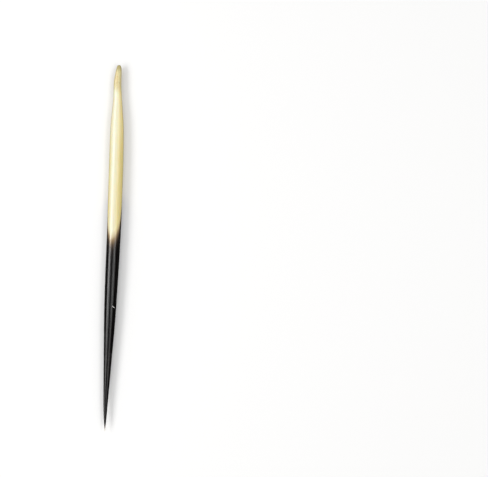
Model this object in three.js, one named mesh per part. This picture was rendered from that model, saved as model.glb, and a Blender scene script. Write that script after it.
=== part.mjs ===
// A porcupine quill, lying on its belly as one loose quill rests on a table.
// Millimetres, +Z up. The quill runs along Y, with its root end at +Y and its needle tip at -Y.
// The origin is at the middle of its bounding box, on the surface that it rests on.
import * as THREE from "three";

const LENGTH = 150;
// How tall a section is against its width: a quill is a little flatter than round.
const ROUNDNESS = 0.95;
// The straight axis lies this high, so that the belly below it is pressed flat at z = 0.
const AXIS_HEIGHT = 2.42;

// Fine ridges run along the whole quill. The lowest facet joins two of them, and is the resting land.
const RIDGES = 19;
const LAND_HALF_ANGLE = THREE.MathUtils.degToRad(18);
const GROOVE_DEPTH = 0.08;
// How far the ridges stray from even spacing, as a share of that spacing, in a wave with this step per ridge.
const RIDGE_STRAY = 0.22;
const RIDGE_STRAY_STEP = 2.4;
// The ridges rise out of the smooth neck, and die out again before the tip: distances from the root end.
const RIDGES_START = 5;
const RIDGES_FULL = 26;
const RIDGES_FADE = 112;
const RIDGES_END = 146;

// The colours, and where ivory turns to brown-black, as distances from the root end.
const IVORY = new THREE.Color("#eee0b4");
const BROWN_BLACK = new THREE.Color("#1d1816");
const DARK_FROM = 66;
const DARK_FULL = 73;

// The outline: distance from the root end, width there, and how far the axis is bowed to the side.
const OUTLINE = [
  [0.0, 0.6, 0.0],
  [0.4, 1.5, 0.0],
  [1.4, 2.02, 0.0],
  [3.0, 2.44, -0.1],
  [4.8, 2.76, -0.25],
  [6.6, 2.98, -0.35],
  [9.6, 3.14, -0.3],
  [14.5, 3.6, -0.07],
  [19.5, 4.5, 0.02],
  [24.5, 5.26, 0.13],
  [30.5, 5.6, 0.22],
  [39.0, 5.76, 0.36],
  [52.0, 5.72, 0.47],
  [66.0, 5.66, 0.53],
  [80.0, 5.5, 0.42],
  [95.0, 5.04, 0.26],
  [107.0, 4.4, 0.18],
  [118.0, 3.5, 0.07],
  [130.0, 2.52, -0.05],
  [139.5, 1.7, -0.12],
  [145.0, 1.06, -0.09],
  [148.2, 0.46, -0.04],
  [149.8, 0.12, 0.0],
];
const RINGS_PER_SPAN = 3;

// The angle of each point around a section, anticlockwise from straight below. Points take turns on a ridge
// and in the groove after it. The first and last ridges are the land's two edges.
function sectionAngles() {
  const gaps = RIDGES - 1;
  const pitch = (2 * Math.PI - 2 * LAND_HALF_ANGLE) / gaps;
  const angles = [];
  for (let ridge = 0; ridge <= gaps; ridge += 1) {
    const onLand = ridge === 0 || ridge === gaps;
    const stray = onLand ? 0 : RIDGE_STRAY * Math.sin(ridge * RIDGE_STRAY_STEP);
    angles.push({ angle: LAND_HALF_ANGLE + (ridge + stray) * pitch, groove: 0 });
    if (ridge < gaps) {
      angles.push({ angle: LAND_HALF_ANGLE + (ridge + 0.5) * pitch, groove: 1 });
    }
  }
  return angles;
}

// How deep the grooves are cut at a distance from the root end, as a share of their full depth.
function grooveShare(fromRoot) {
  const rising = THREE.MathUtils.smoothstep(fromRoot, RIDGES_START, RIDGES_FULL);
  const fading = THREE.MathUtils.smoothstep(fromRoot, RIDGES_FADE, RIDGES_END);
  return rising * (1 - fading);
}

// The points of one ring. Whatever would sink below the surface lies flat on it, which makes the belly's land.
function ringPoints(fromRoot, width, bow, angles) {
  const halfWidth = width / 2;
  const depth = GROOVE_DEPTH * grooveShare(fromRoot);
  return angles.map(({ angle, groove }) => {
    const reach = 1 - (groove * depth) / halfWidth;
    const x = bow + halfWidth * reach * Math.sin(angle);
    const z = AXIS_HEIGHT - halfWidth * ROUNDNESS * reach * Math.cos(angle);
    return new THREE.Vector3(x, LENGTH / 2 - fromRoot, Math.max(z, 0));
  });
}

// The rings from root to tip, read off one smooth curve through the outline's points.
function quillRings() {
  const corners = OUTLINE.map(([fromRoot, width, bow]) => new THREE.Vector3(fromRoot, width, bow));
  const outline = new THREE.CatmullRomCurve3(corners, false, "centripetal");
  const angles = sectionAngles();
  return outline
    .getPoints(RINGS_PER_SPAN * (OUTLINE.length - 1))
    .map((at) => ringPoints(at.x, at.y, at.z, angles));
}

// Ivory towards the root, brown-black towards the tip.
function colourAt(y) {
  const share = THREE.MathUtils.smoothstep(LENGTH / 2 - y, DARK_FROM, DARK_FULL);
  return IVORY.clone().lerp(BROWN_BLACK, share);
}

// One closed skin: a point at each end, and the rings joined by two triangles to each side.
function quillGeometry() {
  const rings = quillRings();
  const sides = rings[0].length;
  const rootPoint = new THREE.Vector3(0, LENGTH / 2, AXIS_HEIGHT);
  const tipPoint = new THREE.Vector3(0, -LENGTH / 2, AXIS_HEIGHT);
  const points = [...rings.flat(), rootPoint, tipPoint];
  const root = points.length - 2;
  const tip = points.length - 1;
  const lastRing = (rings.length - 1) * sides;

  const faces = [];
  for (let side = 0; side < sides; side += 1) {
    const next = (side + 1) % sides;
    faces.push(root, next, side);
    for (let ring = 0; ring < rings.length - 1; ring += 1) {
      const here = ring * sides;
      const there = here + sides;
      faces.push(here + side, here + next, there + next);
      faces.push(here + side, there + next, there + side);
    }
    faces.push(lastRing + side, lastRing + next, tip);
  }

  const geometry = new THREE.BufferGeometry().setFromPoints(points);
  const colours = points.flatMap((point) => colourAt(point.y).toArray());
  geometry.setAttribute("color", new THREE.Float32BufferAttribute(colours, 3));
  geometry.setIndex(faces);
  geometry.computeVertexNormals();
  return geometry;
}

const quill = new THREE.Mesh(
  quillGeometry(),
  new THREE.MeshStandardMaterial({ vertexColors: true, roughness: 0.38, metalness: 0 }),
);
quill.name = "quill";

const group = new THREE.Group();
group.add(quill);

// The bowed axis is moved sideways so that the origin is at the middle of the bounding box.
const box = new THREE.Box3().setFromObject(group);
quill.position.x = -(box.min.x + box.max.x) / 2;

export default group;
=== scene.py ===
# The looks of a porcupine quill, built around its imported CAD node.
# Blender's own units are metres, +Z up. The quill lies along Y on the floor at z = 0, its root end at +Y.
# Sizes that end in _MM are in millimetres, and "from the root" is measured along Y from the root end.
# Angles round the quill are measured from its top towards +X.
import math

import bpy
import numpy as np
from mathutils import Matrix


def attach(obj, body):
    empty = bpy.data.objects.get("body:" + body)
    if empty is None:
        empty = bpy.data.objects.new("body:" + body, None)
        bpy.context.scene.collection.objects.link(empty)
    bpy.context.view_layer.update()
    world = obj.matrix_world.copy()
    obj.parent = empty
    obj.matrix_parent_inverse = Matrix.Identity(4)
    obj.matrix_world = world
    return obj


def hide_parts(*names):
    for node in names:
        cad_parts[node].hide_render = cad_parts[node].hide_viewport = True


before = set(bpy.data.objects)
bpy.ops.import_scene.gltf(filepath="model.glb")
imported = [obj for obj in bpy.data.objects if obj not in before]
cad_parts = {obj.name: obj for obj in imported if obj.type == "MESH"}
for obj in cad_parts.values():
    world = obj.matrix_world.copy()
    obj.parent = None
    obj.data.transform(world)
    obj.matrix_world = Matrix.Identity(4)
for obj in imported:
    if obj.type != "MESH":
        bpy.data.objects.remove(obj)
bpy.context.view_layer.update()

MM = 0.001
SEED = 29

# ---------------------------------------------------------------- shape

# Ridges run the whole length, with a sharp groove between each two. The steps are where a ridge's points lie,
# from the groove before it to the groove after it.
RIDGES = 24
RIDGE_STEPS = (0.0, 0.07, 0.16, 0.32, 0.5, 0.68, 0.84, 0.93)
# How far a ridge's width strays from the mean width, as a share of it.
RIDGE_UNEVENNESS = 0.25
# How far the ridges turn round the quill from its root to its tip.
TWIST_DEG = 3
# A higher power makes the grooves narrower and the ridges broader.
GROOVE_SHARPNESS = 3
# Each groove's depth lies between these two. Waves along the quill take away up to twice the given share of
# it. They are this long, times a factor for each groove that lies between the last two.
GROOVE_DEPTH_MM = (0.01, 0.035)
GROOVE_WAVE_SHARE = 0.25
GROOVE_WAVE_MM = 34
GROOVE_WAVE_SPREAD = (0.7, 1.6)
# The grooves begin on the smooth neck, and die out before the tip.
GROOVES_RISE_MM = (5, 24)
GROOVES_FADE_MM = (112, 147)

# The skin's rings lie closer together at the two ends, by this share of their even spacing.
RINGS = 470
END_CROWDING = 0.75
# The small pit in the root end: how deep each ring lies, and its share of the end's half width.
ROOT_PIT = ((0.22, 0.12), (0.15, 0.4), (0.04, 0.66), (0.0, 0.86))
ROOT_PIT_BOTTOM_MM = 0.25
# A slight unevenness of the outline, as a share of its half width. It is the mean of some waves along the
# quill, each with its length in millimetres over 2 pi, its strength and its phase.
WAVINESS = 0.006
WAVES = ((3.1, 0.4, 0), (7.7, 1, 1))

# A nick in the black half: where it is, and its size and slant. Rings lie this close together across it.
NICK_FROM_ROOT_MM = 99.0
NICK_ANGLE_DEG = 41
NICK_LENGTH_MM = 2.0
NICK_WIDTH_MM = 0.15
NICK_SLANT_DEG = 58
NICK_DEPTH_MM = 0.05
NICK_RING_STEP_MM = 0.1

# Where ivory ends, from the root. Its end is a sum of waves that go round the quill once, twice and three
# times, and reaches furthest near the top. Each ridge's own end strays by up to the jitter.
BAND_MM = 61.6
BAND_WAVES_MM = (8.0, 3.85, -1.7)
BAND_TURN_DEG = 6
BAND_JITTER_MM = 0.8

# The map that the surface is baked through: the quill's length cut in three, laid one above another, with a
# margin round each, as a share of the map.
BAKE_ROWS = 3
BAKE_MARGIN = 0.012


def smoothstep(low, high, values):
    """0 below low, 1 above high, and a smooth rise between them."""
    share = np.clip((values - low) / (high - low), 0, 1)
    return share * share * (3 - 2 * share)


def read_outline(node):
    """The CAD node's outline from root to tip, the y of its root end, and its tip.

    The outline's columns are how far each ring lies from the root, its half width, middle x and half height.
    """
    corners = np.array([vertex.co for vertex in node.data.vertices])
    tip = corners[np.argmin(corners[:, 1])]
    root_y = corners[:, 1].max()
    places = np.round((root_y - corners[:, 1]) / MM, 2)
    rows = []
    for place in np.unique(places):
        ring = corners[places == place]
        low, high = ring.min(axis=0), ring.max(axis=0)
        rows.append((place * MM, (high[0] - low[0]) / 2, (high[0] + low[0]) / 2, high[2] - tip[2]))
    return np.array(rows).T, root_y, tip


def smooth_curve(stations, values, at):
    """A smooth curve through the values at their stations, read at other stations."""
    slopes = np.gradient(values, stations)
    span = np.clip(np.searchsorted(stations, at) - 1, 0, len(stations) - 2)
    width = stations[span + 1] - stations[span]
    share = (at - stations[span]) / width
    rise = share * share * (3 - 2 * share)
    leave = share * (1 - share) ** 2 * width * slopes[span]
    arrive = share * share * (share - 1) * width * slopes[span + 1]
    return values[span] * (1 - rise) + values[span + 1] * rise + leave + arrive


def ring_places(length):
    """How far each ring lies from the root: close together at both ends, and across the nick."""
    share = np.linspace(0, 1, RINGS)[1:-1]
    crowded = length * (share - END_CROWDING * np.sin(2 * np.pi * share) / (2 * np.pi))
    reach = NICK_LENGTH_MM * MM
    centre = NICK_FROM_ROOT_MM * MM
    close = np.arange(centre - reach, centre + reach, NICK_RING_STEP_MM * MM)
    outside = np.abs(crowded - centre) > reach
    return np.sort(np.concatenate([crowded[outside], close]))


def unevenness(from_root):
    """A factor on the outline at each ring, close to 1."""
    waves = sum(strength * np.sin(from_root / MM / scale + phase) for scale, strength, phase in WAVES)
    return 1 + WAVINESS * waves / len(WAVES)


def ridge_pattern(rng):
    """For each point round a ring: its angle, its share of its groove's depth, its groove and its ridge."""
    widths = rng.uniform(1 - RIDGE_UNEVENNESS, 1 + RIDGE_UNEVENNESS, RIDGES)
    edges = np.concatenate([[0], np.cumsum(widths)]) * 2 * np.pi / widths.sum()
    steps = np.array(RIDGE_STEPS)
    angles = (edges[:-1, None] + np.diff(edges)[:, None] * steps).ravel()
    in_groove = np.tile(np.abs(2 * steps - 1) ** GROOVE_SHARPNESS, RIDGES)
    ridge = np.repeat(np.arange(RIDGES), len(steps))
    groove = (ridge + np.tile(steps > 0.5, RIDGES)) % RIDGES
    return angles, in_groove, groove, ridge


def groove_depths(rng, from_root):
    """How deep each groove is at each ring, in metres: one row for each ring, one column for each groove."""
    depth = rng.uniform(*GROOVE_DEPTH_MM, RIDGES)
    phase = rng.uniform(0, 2 * np.pi, RIDGES)
    length = GROOVE_WAVE_MM * rng.uniform(*GROOVE_WAVE_SPREAD, RIDGES)
    swing = np.sin(from_root[:, None] / MM * 2 * np.pi / length + phase)
    wave = 1 - GROOVE_WAVE_SHARE + GROOVE_WAVE_SHARE * swing
    rise = smoothstep(*GROOVES_RISE_MM, from_root / MM)
    fade = 1 - smoothstep(*GROOVES_FADE_MM, from_root / MM)
    return depth * MM * wave * (rise * fade)[:, None]


def nick_share(from_root, angles, half_width):
    """How far each point lies in the nick, from 0 outside it to 1 along its middle."""
    along = from_root[:, None] / MM - NICK_FROM_ROOT_MM
    across = (angles - math.radians(NICK_ANGLE_DEG)) * half_width[:, None] / MM
    slant = math.radians(NICK_SLANT_DEG)
    lengthwise = along * math.cos(slant) + across * math.sin(slant)
    sideways = across * math.cos(slant) - along * math.sin(slant)
    taper = np.clip(1 - (2 * lengthwise / NICK_LENGTH_MM) ** 2, 0, 1)
    return taper * np.exp(-((sideways / NICK_WIDTH_MM) ** 2))


def band_edge(angles):
    """How far from the root ivory ends at each angle, in metres."""
    turned = angles + math.radians(BAND_TURN_DEG)
    waves = sum(size * np.cos((count + 1) * turned) for count, size in enumerate(BAND_WAVES_MM))
    return (BAND_MM + waves) * MM


def whole_numbers(items, name):
    """One whole number for each of a mesh's faces, or for each corner of its faces."""
    numbers = np.zeros(len(items), np.int32)
    items.foreach_get(name, numbers)
    return numbers


def bake_map(mesh, path, angles):
    """A map with the quill's length in rows, so that its picture is about as fine along it as round it."""
    rings, sides = len(path), len(angles)
    row_of_ring = np.minimum((path[:-1] / path[-1] * BAKE_ROWS).astype(int), BAKE_ROWS - 1)
    ends = np.array([path[:-1][row_of_ring == row][0] for row in range(BAKE_ROWS)] + [path[-1]])
    round_share = np.append(angles, 2 * np.pi) / (2 * np.pi)

    vertex = whole_numbers(mesh.loops, "vertex_index")
    corners = whole_numbers(mesh.polygons, "loop_total")
    face = np.repeat(np.arange(len(corners)), corners)
    first_ring = np.clip(face // sides - 1, 0, rings - 2)
    side = face % sides
    is_pole = vertex >= rings * sides
    column = np.where(is_pole, side, vertex % sides)
    column = np.where((column == 0) & (side == sides - 1), sides, column)
    place = np.where(is_pole, np.where(vertex == rings * sides, path[0], path[-1]), 0.0)
    place[~is_pole] = path[vertex[~is_pole] // sides]

    row = row_of_ring[first_ring]
    row_share = (place - ends[row]) / (ends[row + 1] - ends[row])
    row_margin = BAKE_MARGIN * BAKE_ROWS
    u = BAKE_MARGIN + (1 - 2 * BAKE_MARGIN) * row_share
    v = (row + row_margin + (1 - 2 * row_margin) * round_share[column]) / BAKE_ROWS
    layer = mesh.uv_layers.new(name="OFBake")
    layer.uv.foreach_set("vector", np.column_stack([u, v]).astype(np.float32).ravel())


def skin_faces(rings, sides):
    """The faces of the closed skin. The two points at the ends come after all the rings' points."""
    root_pole = rings * sides
    tip_pole = root_pole + 1
    here = np.arange(sides)
    after = (here + 1) % sides
    faces = [(root_pole, a, b) for a, b in zip(here, after)]
    for ring in range(rings - 1):
        near = ring * sides
        far = near + sides
        faces.extend(zip(near + here, far + here, far + after, near + after))
    last = (rings - 1) * sides
    faces.extend((tip_pole, last + b, last + a) for a, b in zip(here, after))
    return faces


def add_attribute(mesh, name, on_rings, at_root, at_tip):
    """Stores a number, or a vector, for each of the rings' points and for the points at the two ends."""
    values = np.concatenate([on_rings, [at_root, at_tip]]).astype(np.float32)
    kind, key = ("FLOAT_VECTOR", "vector") if values.ndim == 2 else ("FLOAT", "value")
    mesh.attributes.new(name, kind, "POINT").data.foreach_set(key, values.ravel())


def make_quill(node):
    """The quill's fine skin, on the CAD node's outline."""
    rng = np.random.default_rng(SEED)
    (stations, half_widths, middles, half_heights), root_y, tip = read_outline(node)
    length = stations[-1]
    along = ring_places(length)
    pit_depths, pit_shares = np.array(ROOT_PIT).T
    from_root = np.concatenate([pit_depths * MM, along])
    on_outline = np.concatenate([np.zeros(len(ROOT_PIT)), along])
    share = np.concatenate([pit_shares, np.ones(len(along))])

    wave = unevenness(on_outline)
    half_width = smooth_curve(stations, half_widths, on_outline) * share * wave
    half_height = smooth_curve(stations, half_heights, on_outline) * share * wave
    middle = smooth_curve(stations, middles, on_outline)

    angles, in_groove, groove, ridge = ridge_pattern(rng)
    depths = groove_depths(rng, on_outline)[:, groove] * in_groove
    turned = angles + math.radians(TWIST_DEG) * (on_outline / length)[:, None]
    nick = nick_share(from_root, turned, half_width)
    reach = 1 - (depths + nick * NICK_DEPTH_MM * MM) / np.maximum(half_width, MM)[:, None]

    # Whatever would sink into the floor lies flat on it.
    x = middle[:, None] + half_width[:, None] * reach * np.sin(turned)
    y = np.broadcast_to(root_y - from_root[:, None], x.shape)
    z = np.maximum(tip[2] + half_height[:, None] * reach * np.cos(turned), 0)
    points = np.stack([x, y, z], axis=2).reshape(-1, 3)
    root_pole = (middle[0], root_y - ROOT_PIT_BOTTOM_MM * MM, tip[2])
    points = np.concatenate([points, [root_pole, tip]])

    rings, sides = x.shape
    mesh = bpy.data.meshes.new("porcupine_quill")
    mesh.from_pydata(points.tolist(), [], skin_faces(rings, sides))
    mesh.polygons.foreach_set("use_smooth", [True] * len(mesh.polygons))

    jitter = rng.uniform(-1, 1, RIDGES)
    tone = rng.uniform(-1, 1, RIDGES)
    past_edge = on_outline[:, None] - band_edge(turned) - jitter[ridge] * BAND_JITTER_MM * MM
    past_edge_mm = past_edge.ravel() / MM
    around = np.stack([np.cos(turned), np.sin(turned), np.zeros_like(turned)], axis=2).reshape(-1, 3)
    groove_share = depths / (GROOVE_DEPTH_MM[1] * MM)
    add_attribute(mesh, "around", around, (1, 0, 0), (1, 0, 0))
    add_attribute(mesh, "from_root", np.repeat(on_outline, sides) / MM, 0, length / MM)
    add_attribute(mesh, "past_edge", past_edge_mm, past_edge_mm.min(), past_edge_mm.max())
    add_attribute(mesh, "groove", groove_share.ravel(), 0, 0)
    add_attribute(mesh, "ridge_tone", np.tile(tone[ridge], rings), 0, 0)
    add_attribute(mesh, "nick", nick.ravel(), 0, 0)

    steps = np.hypot(np.diff(from_root), np.diff(half_width))
    bake_map(mesh, np.concatenate([[0], np.cumsum(steps)]), angles)
    quill = bpy.data.objects.new("porcupine_quill", mesh)
    bpy.context.scene.collection.objects.link(quill)
    return quill


# ---------------------------------------------------------------- material

# The quill's radius where it is thickest, which turns widths of streaks into turns round it.
RADIUS_MM = 2.85


def colour(code):
    """An sRGB hex code as the linear colour that Blender works in."""
    parts = [int(code[i:i + 2], 16) / 255 for i in (1, 3, 5)]
    linear = [part / 12.92 if part <= 0.04045 else ((part + 0.055) / 1.055) ** 2.4 for part in parts]
    return (*linear, 1.0)


class Nodes:
    """Short calls that add nodes to a material or a world. Most return the socket that the node gives out."""

    def __init__(self, owner):
        owner.use_nodes = True
        self.tree = owner.node_tree
        self.shader = self.tree.nodes.get("Principled BSDF") or self.tree.nodes["Background"]

    def add(self, kind, inputs, **settings):
        """A node of any kind, with its inputs linked or set."""
        node = self.tree.nodes.new(kind)
        for name, value in settings.items():
            setattr(node, name, value)
        for key, value in inputs.items():
            self.put(node.inputs[key], value)
        return node

    def put(self, socket, value):
        """Links a socket to another one, or sets it to a constant."""
        if isinstance(value, bpy.types.NodeSocket):
            self.tree.links.new(value, socket)
        else:
            socket.default_value = value

    def shade(self, name, value):
        """Links or sets one of the shader's own sockets."""
        self.put(self.shader.inputs[name], value)

    def attribute(self, name, output="Fac"):
        return self.add("ShaderNodeAttribute", {}, attribute_name=name).outputs[output]

    def math(self, operation, first, second=0.0):
        return self.add("ShaderNodeMath", {0: first, 1: second}, operation=operation).outputs[0]

    def rise(self, value, low, high, start=0.0, end=1.0):
        """Goes smoothly from start to end as value goes from low to high."""
        inputs = {"Value": value, 1: low, 2: high, 3: start, 4: end}
        return self.add("ShaderNodeMapRange", inputs, interpolation_type="SMOOTHSTEP").outputs[0]

    def blend(self, share, first, second):
        """A number between two."""
        return self.add("ShaderNodeMix", {0: share, 2: first, 3: second}).outputs[0]

    def mix(self, share, first, second, blend="MIX"):
        """A colour between two."""
        inputs = {0: share, 6: first, 7: second}
        return self.add("ShaderNodeMix", inputs, data_type="RGBA", blend_type=blend).outputs[2]

    def ramp(self, value, stops):
        """A colour for each place between the stops, which are pairs of a place from 0 to 1 and a colour."""
        node = self.add("ShaderNodeValToRGB", {"Fac": value})
        elements = node.color_ramp.elements
        while len(elements) < len(stops):
            elements.new(0.5)
        for element, (place, code) in zip(elements, stops):
            element.position = place
            element.color = colour(code)
        return node.outputs["Color"]

    def streaks(self, width_mm, length_mm, offset, detail=2.0, levels=None, between=(0.0, 1.0)):
        """Noise from 0 to 1 drawn out along the quill, in streaks that narrow with it.

        With two levels, it goes smoothly between two other values as the noise goes from one to the other.
        """
        scale = RADIUS_MM / width_mm
        around = self.add("ShaderNodeSeparateXYZ", {0: self.attribute("around", "Vector")}).outputs
        along = self.math("MULTIPLY", self.attribute("from_root"), 1 / (length_mm * scale))
        place = {0: around["X"], 1: around["Y"], 2: self.math("ADD", along, offset)}
        vector = self.add("ShaderNodeCombineXYZ", place).outputs["Vector"]
        inputs = {"Vector": vector, "Scale": scale, "Detail": detail}
        noise = self.add("ShaderNodeTexNoise", inputs).outputs["Fac"]
        return self.rise(noise, *levels, *between) if levels else noise


# The ivory half is palest along a line at this angle, and turns to honey away from it: partly the ivory's own
# honey tone, partly painted shade on its flanks. On the neck, which ends between these places, it turns more
# gently and to a lighter honey, with less painted shade.
IVORY_PALE = colour("#ebebd6")
SIDE_HONEY_AND_SHADE = colour("#e9d890")
NECK_HONEY_AND_SHADE = colour("#f4e19a")
NECK_END_MM = (24, 40)
PALEST_DEG = -15
PALE_SHARPNESS = (2.3, 4)
# The underside is paler again, with less painted shade. These are cosines of the angle from the palest line.
UNDERSIDE_FACING = (-0.35, 0.22)
UNDERSIDE_PALENESS = 0.62
# How much honey and painted shade there is away from the palest line, and how much of it comes and goes with
# single ridges and with streaks. The offsets of all streaks differ, so that no two kinds of them line up.
FULL_HONEY_AND_SHADE = 1.05
RIDGE_HONEY = 0.08
BROAD_HONEY = {
    "width_mm": 1.1, "length_mm": 60, "offset": 3, "detail": 1,
    "levels": (0.32, 0.68), "between": (-0.1, 0.1),
}
FINE_HONEY = {
    "width_mm": 0.28, "length_mm": 25, "offset": 9,
    "levels": (0.35, 0.7), "between": (-0.08, 0.08),
}

# The tan cap at the root end, mottled with brown, and its olive apex. The cap ends between these places, and
# streaks bring its end nearer to the root by up to the ragged length.
CAP_TAN = colour("#e2d4a1")
CAP_BROWN = colour("#c7b47f")
CAP_MOTTLE = {"width_mm": 0.32, "length_mm": 0.8, "offset": 27, "detail": 4, "levels": (0.42, 0.72)}
CAP_END_MM = (9.5, 14.0)
CAP_RAGGED_MM = 3.0
CAP_RAGGED = {"width_mm": 0.5, "length_mm": 8, "offset": 5}
APEX_OLIVE = colour("#b9ae78")
APEX_END_MM = (0.8, 3.8)

# The brown edge: where it fades in over the ivory, and its shades over a span, both measured from where ivory
# ends. Streaks move it to and fro within this length, which feathers it.
BAND_FADE_MM = (-4.2, 0.6)
BAND_SPAN_MM = (-1.0, 9.5)
BAND_SHADES = ((0.0, "#c3af8a"), (0.14, "#947c5d"), (0.34, "#4e4034"), (0.55, "#221c18"), (1.0, "#0c0a09"))
BAND_STREAK_MM = 3.4
BAND_FEATHER = {"width_mm": 0.3, "length_mm": 9, "offset": 1, "detail": 3}

# The black half, with streaks of a warmer and a cooler black. It comes in between these shares of the brown
# edge's span. Its tip turns brown and then amber.
BLACK_FROM = (0.55, 1.0)
BLACK_WARM = colour("#0d0a08")
BLACK_COOL = colour("#060607")
BLACK_TONES = {"width_mm": 0.7, "length_mm": 70, "offset": 7, "levels": (0.35, 0.65)}
TIP_BROWN = colour("#4f3a2e")
TIP_BROWN_MM = (146.8, 148.2)
TIP_AMBER = colour("#cbbdab")
TIP_AMBER_MM = (147.9, 149.3)

# Painted shade: the grooves are darkened with brown, the more the deeper they are. Wear: small scuffs in
# patches between two places, and the white of the chipped nick. The nick and the scuffs are rougher than the
# rest.
PAINTED_GROOVE_SHADE = colour("#8a7448")
GROOVE_SHADE_COVER = 0.16
SCUFF_GREY = colour("#69625f")
SCUFF_COVER = 0.6
SCUFFS_START_MM = (115.0, 119.0)
SCUFFS_END_MM = (123.0, 134.0)
SCUFF_SPECKS = {"width_mm": 0.2, "length_mm": 0.55, "offset": 21, "detail": 4, "levels": (0.53, 0.68)}
SCUFF_PATCHES = {
    "width_mm": 1.3, "length_mm": 2.6, "offset": 23,
    "levels": (0.42, 0.58), "between": (0.15, 1.0),
}
NICK_WHITE = colour("#f8f5f2")
NICK_EDGE = (0.25, 0.6)
NICK_CHIPS = {
    "width_mm": 0.22, "length_mm": 0.3, "offset": 31, "detail": 4,
    "levels": (0.3, 0.7), "between": (0.25, 1.5),
}
WEAR_ROUGHNESS = 0.2

# Gloss. The ivory is a little translucent. The black half's coat is strongest near the brown edge, and fades
# towards the tip between these places. The cap is duller, and streaks vary the roughness all over.
EVERYWHERE = {
    "IOR": 1.55,
    "Subsurface Radius": (1.0, 0.62, 0.3),
    "Subsurface Scale": 1.2 * MM,
    "Coat Roughness": 0.08,
    "Coat IOR": 1.5,
}
IVORY_SUBSURFACE = 0.35
IVORY_COAT = 0.45
BLACK_COAT = (1.0, 0.1)
BLACK_COAT_MM = (82, 122)
CAP_DULLNESS = 0.14
CAP_DULL_MM = (6.0, 14.0)
ROUGHNESS = {
    "width_mm": 0.4, "length_mm": 30, "offset": 13,
    "levels": (0.3, 0.7), "between": (0.13, 0.22),
}
STRIAE = {"width_mm": 0.13, "length_mm": 14, "offset": 17, "detail": 3}
STRIAE_BUMP = {"Strength": 0.3, "Distance": 0.01 * MM}


def ivory_colour(nodes, from_root):
    """Ivory turning to honey and painted shade at its sides, with honey streaks, a mottled tan cap and olive
    root end.
    """
    palest = math.radians(PALEST_DEG)
    palest_line = (math.cos(palest), math.sin(palest), 0)
    inputs = {0: nodes.attribute("around", "Vector"), 1: palest_line}
    facing = nodes.add("ShaderNodeVectorMath", inputs, operation="DOT_PRODUCT").outputs["Value"]
    sharpness = nodes.rise(from_root, *NECK_END_MM, *PALE_SHARPNESS)
    pale = nodes.math("POWER", nodes.math("MAXIMUM", facing, 0.0), sharpness)
    pale = nodes.math("ADD", pale, nodes.rise(facing, *UNDERSIDE_FACING, UNDERSIDE_PALENESS, 0))

    # The honey share is partly the ivory's own tone and partly painted shade, strongest on the flanks.
    share = nodes.math("SUBTRACT", FULL_HONEY_AND_SHADE, pale)
    on_ridge = nodes.math("MULTIPLY", nodes.attribute("ridge_tone"), RIDGE_HONEY)
    for variation in (nodes.streaks(**BROAD_HONEY), nodes.streaks(**FINE_HONEY), on_ridge):
        share = nodes.math("ADD", share, variation)
    honey_and_shade = nodes.mix(nodes.rise(from_root, *NECK_END_MM), NECK_HONEY_AND_SHADE, SIDE_HONEY_AND_SHADE)
    ivory = nodes.mix(share, IVORY_PALE, honey_and_shade)

    ragged = nodes.math("MULTIPLY", nodes.streaks(**CAP_RAGGED), CAP_RAGGED_MM)
    cap = nodes.rise(nodes.math("ADD", from_root, ragged), *CAP_END_MM, 1, 0)
    tan = nodes.mix(nodes.streaks(**CAP_MOTTLE), CAP_TAN, CAP_BROWN)
    apex = nodes.rise(from_root, *APEX_END_MM, 1, 0)
    return nodes.mix(apex, nodes.mix(cap, ivory, tan), APEX_OLIVE)


def dark_colour(nodes, past_edge):
    """The shades of the brown edge, and the black half after them."""
    start, end = BAND_SPAN_MM
    place = nodes.math("DIVIDE", nodes.math("SUBTRACT", past_edge, start), end - start)
    black = nodes.mix(nodes.streaks(**BLACK_TONES), BLACK_WARM, BLACK_COOL)
    return nodes.mix(nodes.rise(place, *BLACK_FROM), nodes.ramp(place, BAND_SHADES), black)


def scuffs(nodes, from_root):
    """The small scuffs that lie in patches on the black half near its tip, from 0 between them to 1."""
    specks = nodes.math("MULTIPLY", nodes.streaks(**SCUFF_SPECKS), nodes.streaks(**SCUFF_PATCHES))
    begun = nodes.rise(from_root, *SCUFFS_START_MM)
    left = nodes.rise(from_root, *SCUFFS_END_MM, 1, 0)
    return nodes.math("MULTIPLY", specks, nodes.math("MULTIPLY", begun, left))


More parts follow.
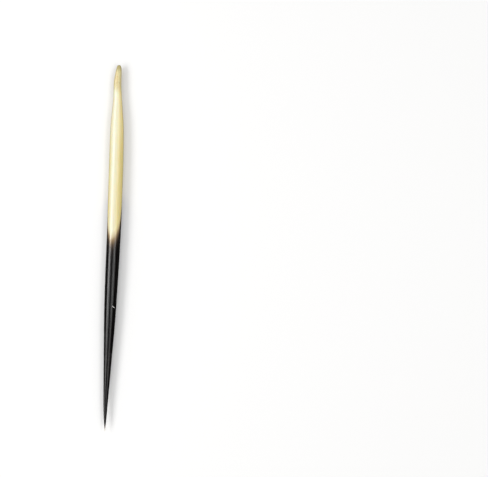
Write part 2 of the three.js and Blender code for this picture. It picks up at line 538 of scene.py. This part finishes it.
def keratin():
    """Glossy keratin: ivory at the root half, a feathered brown edge, then brown-black to an amber tip."""
    material = bpy.data.materials.new("keratin")
    nodes = Nodes(material)
    from_root = nodes.attribute("from_root")
    feather = nodes.math("SUBTRACT", nodes.streaks(**BAND_FEATHER), 0.5)
    feather = nodes.math("MULTIPLY", feather, BAND_STREAK_MM)
    past_edge = nodes.math("ADD", nodes.attribute("past_edge"), feather)
    dark = nodes.rise(past_edge, *BAND_FADE_MM)
    tip_brown = nodes.rise(from_root, *TIP_BROWN_MM)
    tip_amber = nodes.rise(from_root, *TIP_AMBER_MM)
    # Painted shade in the grooves, darker where they are deeper.
    in_groove = nodes.math("MULTIPLY", nodes.attribute("groove"), GROOVE_SHADE_COVER)
    scuffed = scuffs(nodes, from_root)
    nick = nodes.math("MULTIPLY", nodes.attribute("nick"), nodes.streaks(**NICK_CHIPS))

    surface = nodes.mix(dark, ivory_colour(nodes, from_root), dark_colour(nodes, past_edge))
    surface = nodes.mix(in_groove, surface, PAINTED_GROOVE_SHADE, "MULTIPLY")
    surface = nodes.mix(tip_brown, surface, TIP_BROWN)
    surface = nodes.mix(tip_amber, surface, TIP_AMBER)
    surface = nodes.mix(nodes.math("MULTIPLY", scuffed, SCUFF_COVER), surface, SCUFF_GREY)
    surface = nodes.mix(nodes.rise(nick, *NICK_EDGE), surface, NICK_WHITE)
    nodes.shade("Base Color", surface)

    pale = nodes.math("MAXIMUM", nodes.math("SUBTRACT", 1.0, dark), tip_amber)
    nodes.shade("Subsurface Weight", nodes.math("MULTIPLY", pale, IVORY_SUBSURFACE))
    black_coat = nodes.rise(from_root, *BLACK_COAT_MM, *BLACK_COAT)
    nodes.shade("Coat Weight", nodes.blend(pale, black_coat, IVORY_COAT))
    for name, value in EVERYWHERE.items():
        nodes.shade(name, value)

    rough = nodes.rise(from_root, *CAP_DULL_MM, CAP_DULLNESS, 0)
    rough = nodes.math("ADD", rough, nodes.streaks(**ROUGHNESS))
    for worn in (nick, scuffed):
        rough = nodes.math("ADD", rough, nodes.math("MULTIPLY", worn, WEAR_ROUGHNESS))
    nodes.shade("Roughness", rough)

    height = nodes.math("SUBTRACT", nodes.streaks(**STRIAE), scuffed)
    bump = nodes.add("ShaderNodeBump", {**STRIAE_BUMP, "Height": height})
    nodes.shade("Normal", bump.outputs[0])
    return material


# ---------------------------------------------------------------- studio

BLACK = (0, 0, 0, 1)
WHITE = (1, 1, 1, 1)

FLOOR_SIZE = 4.0
# The floor lies this far below the quill's flat belly, so that the two don't share a plane.
FLOOR_DROP = 0.00002
FLOOR_WHITE = (0.87, 0.868, 0.863, 1)
FLOOR_ROUGHNESS = 0.8
FLOOR_SPECULAR = 0.2
# How pale the floor is where it lights the quill, and where the gloss mirrors it. Both are as dim as if other
# quills still lay close on both sides.
FLOOR_NEARBY = (0.6, 0.57, 0.5, 1)
FLOOR_IN_GLOSS = (0.02, 0.02, 0.02, 1)
# The floor that the camera sees turns smoothly into the room between these distances from the middle.
FLOOR_FADES = (0.25, 0.9)

# Softboxes that lie along the quill: their angle from straight above, to the right, and how brightly they
# glow, on the same scale as the room.
SOFTBOX_DISTANCE = 0.6
SOFTBOX_LENGTH = 0.7
LEFT_SOFTBOX = {"angle_deg": -46, "width": 0.2, "glow": 4.2}
RIGHT_SOFTBOX = {"angle_deg": 33, "width": 0.16, "glow": 2.1}

# How brightly the room glows straight above and at the horizon, and how bright it is in the gloss and where
# the camera sees it. The gloss mirrors it only from this height up.
SKY_TOP = 0.9
SKY_HORIZON = 0.4
SKY_IN_GLOSS = 0.11
SKY_IN_GLOSS_FROM = 0.2
SKY_SEEN = 0.95

# The photograph's frame: 488 by 477 pixels, looking straight down. The camera is turned this far, so that the
# quill leans as it does there, and the quill's middle lies this far left of the frame's middle and below it.
LENS_MM = 85
SENSOR_MM = 36
FRAME_WIDTH_MM = 199.8
CAMERA_TURN_DEG = 2.253
QUILL_LEFT_MM = 54.05
QUILL_BELOW_MM = 3.97


def make_floor():
    """A plain pale floor, which meets the room without an edge."""
    half = FLOOR_SIZE / 2
    corners = [(-half, -half), (half, -half), (half, half), (-half, half)]
    mesh = bpy.data.meshes.new("floor")
    mesh.from_pydata([(x, y, -FLOOR_DROP) for x, y in corners], [], [(0, 1, 2, 3)])
    material = bpy.data.materials.new("floor_white")
    nodes = Nodes(material)
    ray = nodes.add("ShaderNodeLightPath", {}).outputs
    position = nodes.add("ShaderNodeNewGeometry", {}).outputs["Position"]
    distance = nodes.add("ShaderNodeVectorMath", {0: position}, operation="LENGTH").outputs["Value"]
    far = nodes.math("MULTIPLY", nodes.rise(distance, *FLOOR_FADES), ray["Is Camera Ray"])
    unseen = nodes.mix(ray["Is Glossy Ray"], FLOOR_NEARBY, FLOOR_IN_GLOSS)
    surface = nodes.mix(ray["Is Camera Ray"], unseen, FLOOR_WHITE)
    nodes.shade("Base Color", nodes.mix(far, surface, BLACK))
    nodes.shade("Emission Color", WHITE)
    nodes.shade("Emission Strength", nodes.math("MULTIPLY", far, SKY_SEEN))
    nodes.shade("Roughness", FLOOR_ROUGHNESS)
    nodes.shade("Specular IOR Level", FLOOR_SPECULAR)
    mesh.materials.append(material)
    floor = bpy.data.objects.new("floor", mesh)
    bpy.context.scene.collection.objects.link(floor)


def make_softbox(name, angle_deg, width, glow):
    """A long softbox beside the quill, facing it."""
    light = bpy.data.lights.new(name, "AREA")
    light.shape = "RECTANGLE"
    light.size = width
    light.size_y = SOFTBOX_LENGTH
    light.energy = glow * math.pi * width * SOFTBOX_LENGTH
    angle = math.radians(angle_deg)
    softbox = bpy.data.objects.new(name, light)
    softbox.location = (SOFTBOX_DISTANCE * math.sin(angle), 0, SOFTBOX_DISTANCE * math.cos(angle))
    softbox.rotation_euler = (0, angle, 0)
    softbox.visible_camera = False
    bpy.context.scene.collection.objects.link(softbox)


def make_room():
    """A pale room that glows most straight above."""
    world = bpy.data.worlds.new("room")
    nodes = Nodes(world)
    direction = nodes.add("ShaderNodeTexCoord", {}).outputs["Generated"]
    height = nodes.add("ShaderNodeSeparateXYZ", {0: direction}).outputs["Z"]
    ray = nodes.add("ShaderNodeLightPath", {}).outputs
    glow = nodes.rise(height, 0, 1, SKY_HORIZON, SKY_TOP)
    gloss = nodes.rise(height, SKY_IN_GLOSS_FROM, 1, 0, SKY_IN_GLOSS)
    glow = nodes.blend(ray["Is Glossy Ray"], glow, gloss)
    nodes.shade("Color", WHITE)
    nodes.shade("Strength", nodes.blend(ray["Is Camera Ray"], glow, SKY_SEEN))
    bpy.context.scene.world = world


def make_camera(tip):
    """Straight above, with the photograph's frame round the quill."""
    data = bpy.data.cameras.new("camera")
    data.lens = LENS_MM
    data.sensor_width = SENSOR_MM
    turn = math.radians(CAMERA_TURN_DEG)
    right = np.array([math.cos(turn), math.sin(turn)])
    up = np.array([-math.sin(turn), math.cos(turn)])
    middle = np.array([tip[0], 0]) + (QUILL_LEFT_MM * right + QUILL_BELOW_MM * up) * MM
    height = tip[2] + FRAME_WIDTH_MM * MM * LENS_MM / SENSOR_MM
    camera = bpy.data.objects.new("camera", data)
    camera.location = (*middle, height)
    camera.rotation_euler = (0, 0, turn)
    bpy.context.scene.collection.objects.link(camera)
    bpy.context.scene.camera = camera


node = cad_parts["quill"]
_, _, tip_point = read_outline(node)
make_camera(tip_point)
make_floor()
make_softbox("softbox_left", **LEFT_SOFTBOX)
make_softbox("softbox_right", **RIGHT_SOFTBOX)
make_room()
bpy.context.scene.view_settings.view_transform = "Standard"

quill = make_quill(node)
quill.data.materials.append(keratin())
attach(quill, "root")
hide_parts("quill")
